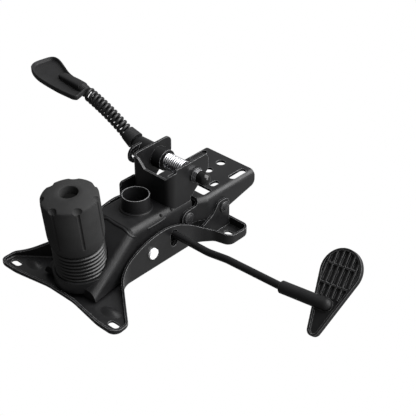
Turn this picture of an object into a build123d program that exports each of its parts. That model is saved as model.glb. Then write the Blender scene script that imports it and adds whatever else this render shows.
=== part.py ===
from build123d import *

import math
import os

# Office chair tilt mechanism, standing upside down on the face that is bolted to the seat.
# X runs across the chair, +Y to the backrest, +Z down to the floor of the room when it is in use.
# The origin is on the gas lift's axis, in the plane of the seat. Lengths are in millimetres.

# Shared clearances
CUT = 1.0  # how far a cutting tool runs past the face that it cuts
RUNNING = 0.05  # radial clearance of a pin in its hole
SIDE_GAP = 0.3  # between two plates that turn past each other
SEAT_GAP = 0.1  # between pieces that rest on each other

# Housing
HOUSING_WALL = 2.5
HOUSING_HALF = 29.9
HOUSING_TOP = 55.0
HOUSING_FRONT = 97.0
HOUSING_FRONT_HALF = 39.0
HOUSING_FRONT_TOP = 14.0
HOUSING_FOOT = 5.0
HOUSING_REAR_FOOT = 18.5
HOUSING_REAR = 54.0
PLATEAU_FRONT = 32.0
PLATEAU_REAR = 53.0
FLARE_REAR = 25.0
HOUSING_ROUND = 8.0
NOSE_DEPTH = 11.0
NOSE_LIP = 2.0
COLLAR_RADIUS = 18.0
COLLAR_HEIGHT = 1.6

# Seat plate
PAN_WALL = 2.5
PAN_BEND = 4.0
WAIST_GAP = 6.1
PAN_WAIST = HOUSING_HALF + WAIST_GAP + PAN_WALL
PAN_FRONT = 111.0
PAN_REAR = 103.5
EAR_FRONT = 118.5
FRONT_EAR_X = 90.0
REAR_EAR_X = 71.0
REAR_EAR_FRONT = 68.0
PAN_SWEEP = 60.0
EAR_CORNER = 10.0
WAIST_SWEEP = 24.0
FRONT_RIM = 7.5
REAR_RIM = 12.0
FLANGE_TOP = 40.0
FAR_FLANGE_TOP = 46.0
FAR_TAB_TOP = 64.0
FAR_TAB_FRONT = 12.4
FAR_TAB_REAR = 37.0
FAR_TAB_ROUND = 4.0
WAIST_FRONT = 58.0
WAIST_REAR = 50.0
FRONT_SLOT_SPACING = 150.0
FRONT_SLOT_Y = 106.0
REAR_SLOT_SPACING = 110.0
REAR_SLOT_Y = 87.0
SEAT_SLOT_LENGTH = 13.5
SEAT_SLOT_WIDTH = 7.5
LUG_WALL = 3.0
LUG_RADIUS = 9.0
LUG_ROUND = 8.0
LUG_CORNER = 6.0
LUG_HOLLOW = 12.0
LUG_FOOT_FRONT = 57.0
LUG_FOOT_REAR = 98.0

# Pivots: height above the seat face and distance along Y
TILT_Y = -15.0
TILT_Z = 22.0
TILT_PIN_RADIUS = 6.0
FRONT_PIVOT_Y = 45.0
FRONT_PIVOT_Z = 34.0
FRONT_PIN_RADIUS = 4.0
REAR_PIVOT_Y = 92.0
REAR_PIVOT_Z = 30.0
REAR_PIN_RADIUS = 4.0
TILT_ANGLE = 9.0
BUSH_WALL = 2.0
BUSH_FLANGE = 1.5
RIVET_HEAD_RADIUS = 6.5
RIVET_HEAD_HEIGHT = 1.8
RING_THICKNESS = 1.2
RING_WIDTH = 2.5

# Gas lift socket
SOCKET_TOP = 71.7
SOCKET_BOTTOM = 37.0
SOCKET_RADIUS = 15.3
SOCKET_BORE = 13.8
SOCKET_TAPER = 0.6

# Clamp bracket
CLAMP_INSET = 0.9
CLAMP_HALF = HOUSING_HALF - CLAMP_INSET
CLAMP_WALL = 2.5
CLAMP_FRONT = 22.0
CLAMP_REAR = 81.0
CLAMP_TOP = 98.0
CLAMP_FRONT_TOP = 88.0
CLAMP_BEND = 9.0
CLAMP_FOOT_REAR = 53.0
CLAMP_REAR_LOW = 79.0
CLAMP_CORNER = 7.0
CLAMP_CLIP_FAR = 19.0
CLAMP_CLIP_NEAR = 32.5
CLAMP_CLIP_LENGTH = 32.5

# Clamp axle and what turns with it
AXLE_Y = 61.0
AXLE_Z = 79.6
AXLE_RADIUS = 5.0
HUB_RADIUS = 12.0
HUB_OUTER_END = 59.0
HUB_INNER_END = 13.6
HUB_ROUND = 2.0
LEVER_LUG_X = 50.0
LEVER_LUG_WALL = 3.0
LEVER_LUG_REACH = 24.0
LEVER_LUG_LOW = 9.5
LEVER_LUG_HIGH = 11.0
LEVER_LUG_HOLE = 5.2
LEVER_LUG_HOLE_Y = 15.0
LEVER_LUG_HOLE_RISE = 1.2
LEVER_LUG_ROUND = 9.5
LOCK_COIL_RADIUS = 8.2
LOCK_WIRE_RADIUS = 1.1
LOCK_PITCH = 2.64
LOCK_TURNS = 10
SPACER_RADIUS = 9.0
WASHER_RADIUS = 8.5
WASHER_THICKNESS = 1.8
NUT_ACROSS = 13.0
NUT_HEIGHT = 4.0
CAP_RADIUS = 7.0
CAP_LENGTH = 6.5
CAP_WALL = 1.6

# Lever with the spring neck
LEVER_RISE = 23.0
LEVER_ROOT_X = 49.5
STUB_RADIUS = 6.0
STUB_LENGTH = 22.0
LEVER_COLLAR_START = 13.7
LEVER_COLLAR_LENGTH = 13.8
LEVER_COLLAR_BIG = 10.3
LEVER_COLLAR_SMALL = 8.6
NECK_RADIUS = 6.2
NECK_WIRE = 1.9
NECK_TURNS = 12
NECK_SEAT = 2.8
NECK_END_X = -136.0
NECK_END_Z = 116.5
NECK_BOW = 2.0
TIP_COLLAR_LENGTH = 8.0
TIP_COLLAR_RADIUS = 6.6
PADDLE_LENGTH = 104.0
PADDLE_HALF = 22.0
PADDLE_THICK = 6.0
PADDLE_FLOOR = 2.2
PADDLE_RIM = 2.2
PADDLE_YAW = 10.0
PADDLE_PITCH = 3.5
PADDLE_STEM = 52.0

# Gas lever
ROD_RADIUS = 4.0
ROD_Y = 17.0
ROD_BEND = 16.0
ROD_STEP_START = 88.0
ROD_STEP_END = 114.0
ROD_STEP_LOW = 30.5
ROD_STEP_HIGH = 34.8
LEVER_PIVOT_X = 23.5
LEVER_PIVOT_Z = 30.0
LEVER_PIVOT_RADIUS = 2.0
ROD_TIP_X = -3.0
ROD_TIP_Y = -1.5
ROD_CORNER_X = 16.0
LEVER_TAB_WALL = 2.5
LEVER_TAB_GAP = 6.4
LEVER_TAB_DEPTH = 4.6
LEVER_PRESS = 4.5
ROD_SLOT_BOTTOM = 14.0
ROD_SLOT_TOP = 35.0
ROD_SLOT_WIDTH = 10.6
HANDLE_START = 186.0
HANDLE_END = 240.0
HANDLE_START_Z = 37.8
HANDLE_END_Z = 45.2
HANDLE_RADIUS = 6.6
BLADE_ROLL = 47.0
BLADE_LENGTH = 89.0
BLADE_WIDTH = 45.0
BLADE_THICK = 5.0
BLADE_FLOOR = 2.0
BLADE_RIM = 2.4
BLADE_RIBS = 6
BLADE_RIB_WIDTH = 1.4

# Tension knob, bolt, spring and bellows, on one leaning axis
KNOB_Y = -78.6
KNOB_Z = 21.5
KNOB_LEAN = 6.0
KNOB_TOP = 98.5
KNOB_BOTTOM = 31.5
KNOB_RADIUS = 29.5
KNOB_SKIRT = 27.3
KNOB_WALL = 4.0
KNOB_EDGE = 2.5
KNOB_EYE = 9.6
KNOB_EYE_DEPTH = 13.0
KNOB_HUB = 14.0
KNOB_SCOOPS = 7
SCOOP_RADIUS = 5.4
SCOOP_BITE = 4.5
SCOOP_DEPTH = 8.0
GROOVE_RADIUS = 1.1
BOLT_RADIUS = 6.0
BOLT_TOP = 89.5
BOLT_FOOT_RADIUS = 9.5
BOLT_FOOT_HEIGHT = 5.0
BOLT_HOLE = 8.0
SPRING_SEAT_RADIUS = 28.2
SPRING_RADIUS = 18.0
SPRING_WIRE = 2.6
SPRING_TURNS = 5
THRUST_RADIUS = 21.5
THRUST_THICKNESS = 2.5
THRUST_AT = 54.5
INSERT_ACROSS = 17.0
INSERT_HEIGHT = 11.0
KNOB_TRAVEL = 6.0
BELLOWS_RADIUS = 27.5
BELLOWS_ROOT = 23.6
BELLOWS_BORE = 22.0
BELLOWS_RIBS = 7
BELLOWS_START = 0.2

# Backrest bracket
PLATE_WALL = 3.0
PLATE_TOP = 50.0
PLATE_FRONT = 62.0
PLATE_REAR = 147.0
PLATE_HALF = 38.7
PLATE_BEND = 7.0
TONGUE_HALF = HOUSING_HALF + SIDE_GAP + PLATE_WALL
TONGUE_RADIUS = 9.0
TONGUE_TOP = PLATE_TOP - PLATE_BEND
TONGUE_FRONT_END = 57.5
JOGGLE_REAR = 70.0
FLANGE_MID_Y = 99.0
FLANGE_MID_Z = 22.5
FLANGE_REAR_Z = 33.0
WINDOW_NEAR = 31.3
WINDOW_FAR = 24.0
WINDOW_FRONT = 71.0
WINDOW_REAR = 84.0
WINDOW_CORNER = 2.0
LONG_SLOT_X = 29.5
LONG_SLOT_Y = 128.0
LONG_SLOT_LENGTH = 25.0
LONG_SLOT_WIDTH = 8.5
CENTRE_HOLE_Y = 133.0
CENTRE_HOLE_RADIUS = 5.3
MIDDLE_HOLE_Y = 112.0
SIDE_SLOT_X = 24.0
SIDE_SLOT_Y = 96.0
SIDE_SLOT_LENGTH = 12.0
SIDE_SLOT_WIDTH = 7.5

# A short step along a wound wire, as a share of its length
SHORT_STEP = 1e-5

# Axis directions
UP = (0, 0, 1)
ACROSS = (1, 0, 0)
REARWARD = (0, 1, 0)


def rod(start, end, radius):
    """A round bar from one point to another."""
    start, end = Vector(*start), Vector(*end)
    plane = Plane(origin=start, z_dir=end - start)
    return extrude(plane * Circle(radius), amount=(end - start).length)


def tube(start, end, radius, bore):
    """A round bar with a hole right through it."""
    return rod(start, end, radius) - rod(start, end, bore)


def across(x_from, x_to, y, z, radius):
    """A round bar that lies along X."""
    return rod((x_from, y, z), (x_to, y, z), radius)


def side_plane(x=0.0):
    """The plane at x whose own x runs along Y and whose own y runs along Z."""
    return Plane(origin=(x, 0, 0), x_dir=REARWARD, z_dir=ACROSS)


def side_face(points, radii):
    """A face in the YZ plane with rounded corners."""
    return side_plane() * make_face(FilletPolyline(*points, radius=radii, close=True))


def both_ways(face, reach):
    """A face of the YZ plane, extruded the same way to both sides."""
    return extrude(face, amount=reach, both=True)


def mirrored(part):
    """A part together with its mirror image across the YZ plane."""
    return part + mirror(part, about=Plane.YZ)


def other_side(part):
    """The mirror image of a part across the YZ plane."""
    return mirror(part, about=Plane.YZ)


def write(name, part):
    """Writes one node, in the frame that all of them share."""
    solids = part.solids()
    export_step(solids[0] if len(solids) == 1 else Compound(solids), f"parts/{name}.step")


def plan_face(points, radii):
    """A face in the seat plane, from one half of its outline and the mirror image of that half."""
    half = FilletPolyline(*points, radius=radii)
    edges = list(half.edges()) + list(mirror(half, about=Plane.YZ).edges())
    return Face(Wire(edges))


# Biarc tubes for the wound springs

def arc_between(start, corner, end):
    """The arc from start to end that touches both legs of their corner."""
    middle = (start + end) * 0.5
    rise = corner - middle
    half_chord = (end - start).length / 2
    if rise.length < half_chord / 1e4:
        return Line(start, end).edge()
    bow = half_chord * math.tan(math.atan2(rise.length, half_chord) / 2)
    return ThreePointArc(start, middle + rise.normalized() * bow, end).edge()


def biarc(start, start_way, end, end_way):
    """Two arcs that leave start and reach end in the ways given."""
    chord = end - start
    ways = start_way + end_way
    a = 2 * (start_way.dot(end_way) - 1)
    b = -2 * chord.dot(ways)
    c = chord.dot(chord)
    if abs(a) < 1e-9:
        leg = -c / b
    else:
        leg = (-b - math.sqrt(max(b * b - 4 * a * c, 0))) / (2 * a)
        if leg <= 0:
            leg = (-b + math.sqrt(max(b * b - 4 * a * c, 0))) / (2 * a)
    first, second = start + start_way * leg, end - end_way * leg
    joint = (first + second) * 0.5
    return [arc_between(start, first, joint), arc_between(joint, second, end)]


def coil(place, turns, wire_radius, lead, steps_per_turn=4):
    """A wire wound along place(t), for t from 0 to 1, with a straight lead at each end."""
    count = turns * steps_per_turn

    def way(t):
        return (place(t + SHORT_STEP) - place(t - SHORT_STEP)).normalized()

    edges = []
    for i in range(count):
        t0, t1 = i / count, (i + 1) / count
        edges += biarc(place(t0), way(t0), place(t1), way(t1))
    first, last = place(0.0), place(1.0)
    edges.insert(0, Line(first - way(0.0) * lead, first).edge())
    edges.append(Line(last, last + way(1.0) * lead).edge())
    path = Wire(edges)
    section = Plane(origin=first - way(0.0) * lead, z_dir=way(0.0)) * Circle(wire_radius)
    return sweep(section, path=path)


def least_gap(name, place, turns, wire_radius):
    """Prints the least gap of a coil to itself, measured on points a turn or so apart."""
    steps = 36
    count = turns * steps
    points = [place(i / count) for i in range(count + 1)]
    apart = [
        (points[i] - points[j]).length
        for i in range(0, count + 1)
        for j in range(i + steps // 2, min(i + 2 * steps, count + 1))
    ]
    print(name, "least gap to itself", round(min(apart) - 2 * wire_radius, 3))


# Seat plate

def pan_outline():
    """Half of the pan's outline, from the middle of its front to the middle of its rear."""
    points = [
        (0, -PAN_FRONT),
        (PAN_WAIST / 2, -PAN_FRONT),
        (FRONT_EAR_X * 0.7, -EAR_FRONT),
        (FRONT_EAR_X, -EAR_FRONT),
        (FRONT_EAR_X * 0.98, -(FRONT_SLOT_Y - SEAT_SLOT_WIDTH)),
        (FRONT_EAR_X * 0.72, -(FRONT_SLOT_Y * 0.75)),
        (PAN_WAIST, -WAIST_FRONT),
        (PAN_WAIST, WAIST_REAR),
        (PAN_WAIST * 1.34, REAR_EAR_FRONT * 0.96),
        (REAR_EAR_X, REAR_EAR_FRONT * 1.03),
        (REAR_EAR_X, PAN_REAR),
        (0, PAN_REAR),
    ]
    radii = [PAN_SWEEP, PAN_SWEEP, EAR_CORNER, EAR_CORNER, WAIST_SWEEP]
    radii += [WAIST_SWEEP, WAIST_SWEEP, EAR_CORNER, EAR_CORNER, EAR_CORNER]
    return points, radii


def rim_profile(top, start_share, front_shares):
    """What stands above the rim of one side, as a face in the YZ plane."""
    front, rear = -EAR_FRONT - CUT, PAN_REAR + CUT
    rise = [(WAIST_FRONT * y, top * z) for y, z in front_shares]
    curve = Spline(
        (front, FRONT_RIM),
        (-FRONT_SLOT_Y * start_share, FRONT_RIM),
        *rise,
        (TILT_Y, top),
        (WAIST_REAR * 0.36, top * 0.99),
        (WAIST_REAR * 0.72, FLANGE_TOP * 0.8),
        (WAIST_REAR * 1.06, FLANGE_TOP * 0.55),
        (REAR_EAR_FRONT, FLANGE_TOP * 0.38),
        (REAR_SLOT_Y, REAR_RIM),
        (rear, REAR_RIM),
    )
    high = FAR_TAB_TOP + PAN_BEND
    lid = Polyline((rear, REAR_RIM), (rear, high), (front, high), (front, FRONT_RIM))
    return side_plane() * make_face(curve.edges() + lid.edges())


def far_tab():
    """The upright tab on the far flange, behind the gas lift."""
    return side_face(
        [
            (FAR_TAB_FRONT, FLANGE_TOP / 2),
            (FAR_TAB_FRONT, FAR_TAB_TOP),
            (FAR_TAB_REAR, FAR_TAB_TOP),
            (FAR_TAB_REAR, FLANGE_TOP / 2),
        ],
        [0, FAR_TAB_ROUND, FAR_TAB_ROUND, 0],
    )


def seat_lug():
    """One upright lug with the slotted hole of the rear pivot, on the +X side."""
    inner = PLATE_HALF + SIDE_GAP
    foot = PAN_WALL / 2
    outline = FilletPolyline(
        (LUG_FOOT_FRONT, foot),
        (LUG_FOOT_FRONT, REAR_PIVOT_Z * 0.62),
        (REAR_PIVOT_Y - LUG_RADIUS * 1.9, REAR_PIVOT_Z - LUG_RADIUS * 0.35),
        (REAR_PIVOT_Y - LUG_RADIUS * 0.9, REAR_PIVOT_Z + LUG_RADIUS),
        (REAR_PIVOT_Y + LUG_RADIUS, REAR_PIVOT_Z + LUG_RADIUS),
        (LUG_FOOT_REAR + LUG_WALL, foot),
        radius=[0, LUG_CORNER, LUG_HOLLOW, LUG_ROUND, LUG_ROUND, 0],
        close=True,
    )
    plate = extrude(side_plane(inner) * make_face(outline), amount=LUG_WALL)
    slack = slot_slack()
    hole = extrude(
        side_plane(inner - CUT)
        * Pos(REAR_PIVOT_Y + slack / 2, REAR_PIVOT_Z)
        * SlotOverall(2 * (REAR_PIN_RADIUS + SIDE_GAP) + slack, 2 * (REAR_PIN_RADIUS + SIDE_GAP)),
        amount=LUG_WALL + 2 * CUT,
    )
    return plate - hole


def linkage():
    """The bracket's turn for each degree of tilt, and how far the rear pivot strays from the lug."""
    to_front = Vector(FRONT_PIVOT_Y - TILT_Y, FRONT_PIVOT_Z - TILT_Z)
    to_rear = Vector(REAR_PIVOT_Y - TILT_Y, REAR_PIVOT_Z - TILT_Z)
    link = to_rear - to_front
    turn = math.radians(TILT_ANGLE)
    moved = Vector(
        to_front.X * math.cos(turn) + to_front.Y * math.sin(turn),
        to_front.Y * math.cos(turn) - to_front.X * math.sin(turn),
    )
    aim = to_rear - moved
    swing = math.atan2(aim.Y, aim.X) - math.atan2(link.Y, link.X)
    ratio = math.degrees(swing) / TILT_ANGLE + 1
    return ratio, link.length - aim.length


def slot_slack():
    """How far the rear pivot's hole is drawn out, because its loop of links is opened there."""
    return linkage()[1]


def rod_sway():
    """How far the gas lever's rod moves along Y in the side flange, over the whole tilt."""
    turn = math.radians(TILT_ANGLE)
    return (ROD_Y - TILT_Y) * (math.cos(turn) - 1) + (LEVER_PIVOT_Z - TILT_Z) * math.sin(turn)


def make_seat_plate():
    points, radii = pan_outline()
    outer_face = plan_face(points, radii)
    high = FAR_TAB_TOP + PAN_BEND
    outer = extrude(outer_face, amount=high)
    outer = fillet(outer.faces().sort_by(Axis.Z)[0].edges(), PAN_BEND)
    inner_face = offset(outer_face, -PAN_WALL)
    inner = Pos(0, 0, PAN_WALL) * extrude(inner_face, amount=high)
    inner = fillet(inner.faces().sort_by(Axis.Z)[0].edges(), PAN_BEND - PAN_WALL)
    near_shares = ((-1.2, 0.3), (-0.95, 0.53), (-0.68, 0.79))
    far_shares = ((-1.54, 0.23), (-1.26, 0.48), (-0.86, 0.74))
    wide = FRONT_EAR_X + CUT
    near_air = extrude(rim_profile(FLANGE_TOP, 0.8, near_shares), amount=wide)
    far_air = extrude(rim_profile(FAR_FLANGE_TOP, 0.92, far_shares), amount=-wide)
    far_air = far_air - extrude(far_tab(), amount=-wide)
    pan = outer - inner - near_air - far_air
    lug = seat_lug()
    pan = pan + lug + other_side(lug)
    slot = extrude(SlotOverall(SEAT_SLOT_LENGTH, SEAT_SLOT_WIDTH), amount=PAN_WALL + CUT, both=True)
    for spacing, y in ((FRONT_SLOT_SPACING, -FRONT_SLOT_Y), (REAR_SLOT_SPACING, REAR_SLOT_Y)):
        pan = pan - mirrored(Pos(spacing / 2, y) * slot)
    reach = PAN_WAIST + CUT
    pan = pan - across(-reach, reach, TILT_Y, TILT_Z, TILT_PIN_RADIUS + RUNNING)
    sway = rod_sway()
    lever_slot = side_plane(PAN_WAIST - PAN_WALL - CUT)
    lever_slot = lever_slot * Pos(ROD_Y + sway / 2, (ROD_SLOT_TOP + ROD_SLOT_BOTTOM) / 2)
    lever_slot = lever_slot * Rot(0, 0, 90) * SlotOverall(ROD_SLOT_TOP - ROD_SLOT_BOTTOM, ROD_SLOT_WIDTH)
    return pan - extrude(lever_slot, amount=PAN_WALL + 2 * CUT)


# Housing

def knob_point(distance):
    """The point of the knob's axis at a distance from the spring's seat."""
    lean = math.radians(KNOB_LEAN)
    return (0, KNOB_Y - distance * math.sin(lean), KNOB_Z + distance * math.cos(lean))


def knob_rod(start, end, radius):
    return rod(knob_point(start), knob_point(end), radius)


def housing_block(inset):
    """The hood as a solid, with every wall moved in by inset."""
    half = HOUSING_HALF - inset
    top = HOUSING_TOP - inset
    slope = math.atan2(HOUSING_TOP - HOUSING_FRONT_TOP, HOUSING_FRONT - PLATEAU_FRONT)
    shift = inset * math.tan(slope / 2)
    below = HOUSING_FOOT * inset / HOUSING_WALL * 2
    profile = side_plane() * make_face(
        Polyline(
            (-HOUSING_FRONT + inset, HOUSING_FOOT - below),
            (-HOUSING_FRONT + inset, HOUSING_FRONT_TOP - inset / 2),
            (-PLATEAU_FRONT + shift, top),
            (PLATEAU_REAR + inset * 2, top),
            (HOUSING_REAR + inset * 2, top - HOUSING_ROUND),
            (HOUSING_REAR + inset * 2, HOUSING_REAR_FOOT - below),
            (TILT_Y, HOUSING_FOOT - below),
            close=True,
        )
    )
    flare = make_face(
        Polyline(
            (HOUSING_FRONT_HALF - inset, -HOUSING_FRONT),
            (half, -FLARE_REAR),
            (-half, -FLARE_REAR),
            (-HOUSING_FRONT_HALF + inset, -HOUSING_FRONT),
            close=True,
        )
    )
    reach = HOUSING_FRONT_HALF + CUT
    body = both_ways(profile, reach)
    waist = Pos(0, (HOUSING_REAR - HOUSING_FRONT) / 2, HOUSING_TOP / 2) * Box(
        2 * half, 2 * (HOUSING_FRONT + HOUSING_REAR), 2 * HOUSING_TOP
    )
    skirt = extrude(Pos(0, 0, -HOUSING_FOOT) * flare, amount=HOUSING_TOP + HOUSING_FOOT)
    foot_corner = Vector(HOUSING_FRONT_HALF - inset, -HOUSING_FRONT, HOUSING_FOOT)
    foot_rear = Vector(half, -FLARE_REAR, HOUSING_FOOT)
    ridge = Vector(half, -PLATEAU_FRONT + shift, top)
    normal = (foot_rear - foot_corner).cross(ridge - foot_corner)
    if normal.X < 0:
        normal = normal * -1
    for way in (1, -1):
        plane = Plane(
            origin=(way * foot_rear.X, foot_rear.Y, foot_rear.Z),
            z_dir=(way * normal.X, normal.Y, normal.Z),
        )
        skirt = split(skirt, bisect_by=plane, keep=Keep.BOTTOM)
    block = body & (waist + skirt)
    ridges = [
        e
        for e in block.edges()
        if min(e.position_at(0).Z, e.position_at(1).Z) > HOUSING_FRONT_TOP - HOUSING_WALL
        and abs(e.center().X) > half / 2
        and abs(e.tangent_at(0).Y) > 1 / 2
        and e.length > HOUSING_FRONT_TOP * 2
    ]
    block = fillet(ridges, HOUSING_ROUND - inset)
    return block


def make_housing():
    seat_floor = HOUSING_WALL
    outer = housing_block(0.0)
    inner = housing_block(HOUSING_WALL)
    reach = KNOB_TOP
    outer = outer + knob_rod(-NOSE_DEPTH, NOSE_LIP, SPRING_SEAT_RADIUS + HOUSING_WALL)
    outer = outer - knob_rod(0.0, reach, SPRING_SEAT_RADIUS)
    inner = inner + knob_rod(-NOSE_DEPTH - CUT, -seat_floor, SPRING_SEAT_RADIUS)
    wall_pocket = knob_rod(-seat_floor, reach, SPRING_SEAT_RADIUS + HOUSING_WALL)
    inner = inner - wall_pocket
    collar = Pos(0, 0, HOUSING_TOP - HOUSING_WALL) * Cylinder(
        COLLAR_RADIUS, HOUSING_WALL + COLLAR_HEIGHT, align=(Align.CENTER, Align.CENTER, Align.MIN)
    )
    collar = fillet(collar.edges().group_by(Axis.Z)[-1], COLLAR_HEIGHT / 2)
    hood = outer - inner + collar
    hood = hood - knob_rod(-reach, reach, BOLT_HOLE)
    hood = hood - rod((0, 0, 0), (0, 0, SOCKET_TOP), SOCKET_RADIUS + RUNNING)
    hood = hood + lever_tabs()
    wide = HOUSING_HALF + CUT
    hood = hood - across(-wide, wide, TILT_Y, TILT_Z, TILT_PIN_RADIUS + BUSH_WALL + RUNNING)
    hood = hood - across(-wide, wide, FRONT_PIVOT_Y, FRONT_PIVOT_Z, FRONT_PIN_RADIUS + RUNNING)
    hood = hood - lever_pivot(RUNNING)
    window = side_plane(HOUSING_HALF / 2) * Pos(ROD_Y, (ROD_SLOT_TOP + ROD_SLOT_BOTTOM) / 2)
    window = window * Rot(0, 0, 90) * SlotOverall(ROD_SLOT_TOP - ROD_SLOT_BOTTOM, ROD_SLOT_WIDTH)
    return hood - extrude(window, amount=HOUSING_HALF)


def lever_tabs():
    """Two tabs that hang from the hood and carry the gas lever's pivot."""
    top = HOUSING_TOP - HOUSING_WALL / 2
    bottom = LEVER_PIVOT_Z - LEVER_TAB_DEPTH
    wall = HOUSING_HALF - HOUSING_WALL / 2
    inner = LEVER_PIVOT_X - LEVER_TAB_DEPTH
    tab = Box(wall - inner, LEVER_TAB_WALL, top - bottom, align=Align.MIN)
    near = Pos(inner, ROD_Y + LEVER_TAB_GAP, bottom) * tab
    far = Pos(inner, ROD_Y - LEVER_TAB_GAP - LEVER_TAB_WALL, bottom) * tab
    return near + far


def lever_pivot(clearance):
    """The gas lever's cross pin, or the hole for it."""
    reach = LEVER_TAB_GAP + LEVER_TAB_WALL
    return rod(
        (LEVER_PIVOT_X, ROD_Y - reach, LEVER_PIVOT_Z),
        (LEVER_PIVOT_X, ROD_Y + reach, LEVER_PIVOT_Z),
        LEVER_PIVOT_RADIUS + clearance,
    )


def make_gas_socket():
    """The tube that the gas lift's cone sits in."""
    body = rod((0, 0, SOCKET_BOTTOM), (0, 0, SOCKET_TOP), SOCKET_RADIUS)
    height = SOCKET_TOP - SOCKET_BOTTOM
    land = height / 2
    bore = rod((0, 0, SOCKET_TOP - land), (0, 0, SOCKET_TOP + CUT), SOCKET_BORE)
    cone = Pos(0, 0, SOCKET_TOP - land - height / 4) * Cone(
        SOCKET_BORE - SOCKET_TAPER, SOCKET_BORE, height / 2
    )
    throat = rod((0, 0, SOCKET_BOTTOM - CUT), (0, 0, SOCKET_TOP), SOCKET_BORE - SOCKET_TAPER)
    return body - bore - cone - throat


# Clamp bracket

def u_plan(half, front, bend):
    """The U of the clamp bracket in plan, as a filled face that runs past its open rear."""
    rear = CLAMP_REAR + CLAMP_BEND
    return make_face(
        FilletPolyline(
            (-half, rear), (-half, front), (half, front), (half, rear), radius=[0, bend, bend, 0], close=True
        )
    )


def make_clamp_bracket():
    foot = HOUSING_TOP - HOUSING_ROUND
    height = CLAMP_TOP - foot
    outer = extrude(Pos(0, 0, foot) * u_plan(CLAMP_HALF, CLAMP_FRONT, CLAMP_BEND), amount=height)
    inner = extrude(
        Pos(0, 0, foot - CUT)
        * u_plan(CLAMP_HALF - CLAMP_WALL, CLAMP_FRONT + CLAMP_WALL, CLAMP_BEND - CLAMP_WALL),
        amount=height + 2 * CUT,
    )
    side = side_face(
        [
            (CLAMP_FRONT - CUT, foot),
            (CLAMP_FRONT - CUT, CLAMP_TOP),
            (CLAMP_REAR, CLAMP_TOP),
            (CLAMP_REAR, CLAMP_REAR_LOW),
            (CLAMP_FOOT_REAR, HOUSING_TOP),
            (CLAMP_FOOT_REAR, foot),
        ],
        [0, 0, CLAMP_CORNER, CLAMP_CORNER, 0, 0],
    )
    bracket = (outer - inner) & both_ways(side, CLAMP_HALF + CUT)
    bracket = bracket - housing_block(0.0)
    drop = CLAMP_TOP - CLAMP_FRONT_TOP
    clip = Plane(origin=(0, CLAMP_CLIP_LENGTH, 0), x_dir=ACROSS, z_dir=(0, -1, 0)) * make_face(
        Polyline(
            (-CLAMP_CLIP_FAR - CUT, CLAMP_TOP + CUT),
            (-CLAMP_CLIP_FAR + drop, CLAMP_FRONT_TOP),
            (CLAMP_CLIP_NEAR - drop, CLAMP_FRONT_TOP),
            (CLAMP_CLIP_NEAR + CUT, CLAMP_TOP + CUT),
            close=True,
        )
    )
    bracket = bracket - extrude(clip, amount=CLAMP_CLIP_LENGTH)
    near = across(0.0, CLAMP_HALF + CUT, AXLE_Y, AXLE_Z, AXLE_RADIUS + RUNNING)
    far = across(-CLAMP_HALF - CUT, 0.0, AXLE_Y, AXLE_Z, HUB_RADIUS + RUNNING)
    return bracket - near - far


# Clamp axle, hub and lock

def make_clamp_axle():
    end = CLAMP_HALF + WASHER_THICKNESS + NUT_HEIGHT + CAP_LENGTH
    return across(-HUB_OUTER_END + HUB_ROUND, end, AXLE_Y, AXLE_Z, AXLE_RADIUS)


def lever_point(distance):
    """A point of the straight part of the lever, at a distance from where it leaves the hub."""
    rise = math.radians(LEVER_RISE)
    return (
        -LEVER_ROOT_X - distance * math.cos(rise),
        AXLE_Y,
        AXLE_Z + distance * math.sin(rise),
    )


def make_lever_hub():
    hub = across(-HUB_OUTER_END, -HUB_INNER_END, AXLE_Y, AXLE_Z, HUB_RADIUS)
    hub = fillet(hub.edges().sort_by(Axis.X)[0], HUB_ROUND)
    lug = FilletPolyline(
        (AXLE_Y, AXLE_Z - LEVER_LUG_LOW),
        (AXLE_Y - LEVER_LUG_REACH, AXLE_Z - LEVER_LUG_LOW),
        (AXLE_Y - LEVER_LUG_REACH, AXLE_Z + LEVER_LUG_HIGH),
        (AXLE_Y, AXLE_Z + LEVER_LUG_HIGH),
        radius=[0, LEVER_LUG_ROUND, LEVER_LUG_ROUND, 0],
        close=True,
    )
    plate = extrude(side_plane(-LEVER_LUG_X) * make_face(lug), amount=LEVER_LUG_WALL)
    hole = across(
        -LEVER_LUG_X - CUT,
        -LEVER_LUG_X + LEVER_LUG_WALL + CUT,
        AXLE_Y - LEVER_LUG_HOLE_Y,
        AXLE_Z + LEVER_LUG_HOLE_RISE,
        LEVER_LUG_HOLE,
    )
    stub = rod(lever_point(0.0), lever_point(STUB_LENGTH), STUB_RADIUS)
    bore = across(-HUB_OUTER_END + HUB_ROUND - SEAT_GAP, 0.0, AXLE_Y, AXLE_Z, AXLE_RADIUS + RUNNING)
    return hub + (plate - hole) + stub - bore


def lock_place(t):
    angle = 2 * math.pi * LOCK_TURNS * t
    return Vector(
        -HUB_INNER_END + LOCK_WIRE_RADIUS + SEAT_GAP + LOCK_PITCH * LOCK_TURNS * t,
        AXLE_Y + LOCK_COIL_RADIUS * math.cos(angle),
        AXLE_Z + LOCK_COIL_RADIUS * math.sin(angle),
    )


def make_lock_spring():
    least_gap("lock_spring", lock_place, LOCK_TURNS, LOCK_WIRE_RADIUS)
    return coil(lock_place, LOCK_TURNS, LOCK_WIRE_RADIUS, 2 * LOCK_WIRE_RADIUS)


def make_lock_spacer():
    start = lock_place(1.0).X + LOCK_WIRE_RADIUS + SEAT_GAP * 2
    end = CLAMP_HALF - CLAMP_WALL - SEAT_GAP
    return tube((start, AXLE_Y, AXLE_Z), (end, AXLE_Y, AXLE_Z), SPACER_RADIUS, AXLE_RADIUS + RUNNING)


def make_clamp_washer():
    start = CLAMP_HALF + SEAT_GAP
    end = start + WASHER_THICKNESS
    return tube((start, AXLE_Y, AXLE_Z), (end, AXLE_Y, AXLE_Z), WASHER_RADIUS, AXLE_RADIUS + RUNNING)


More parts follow.
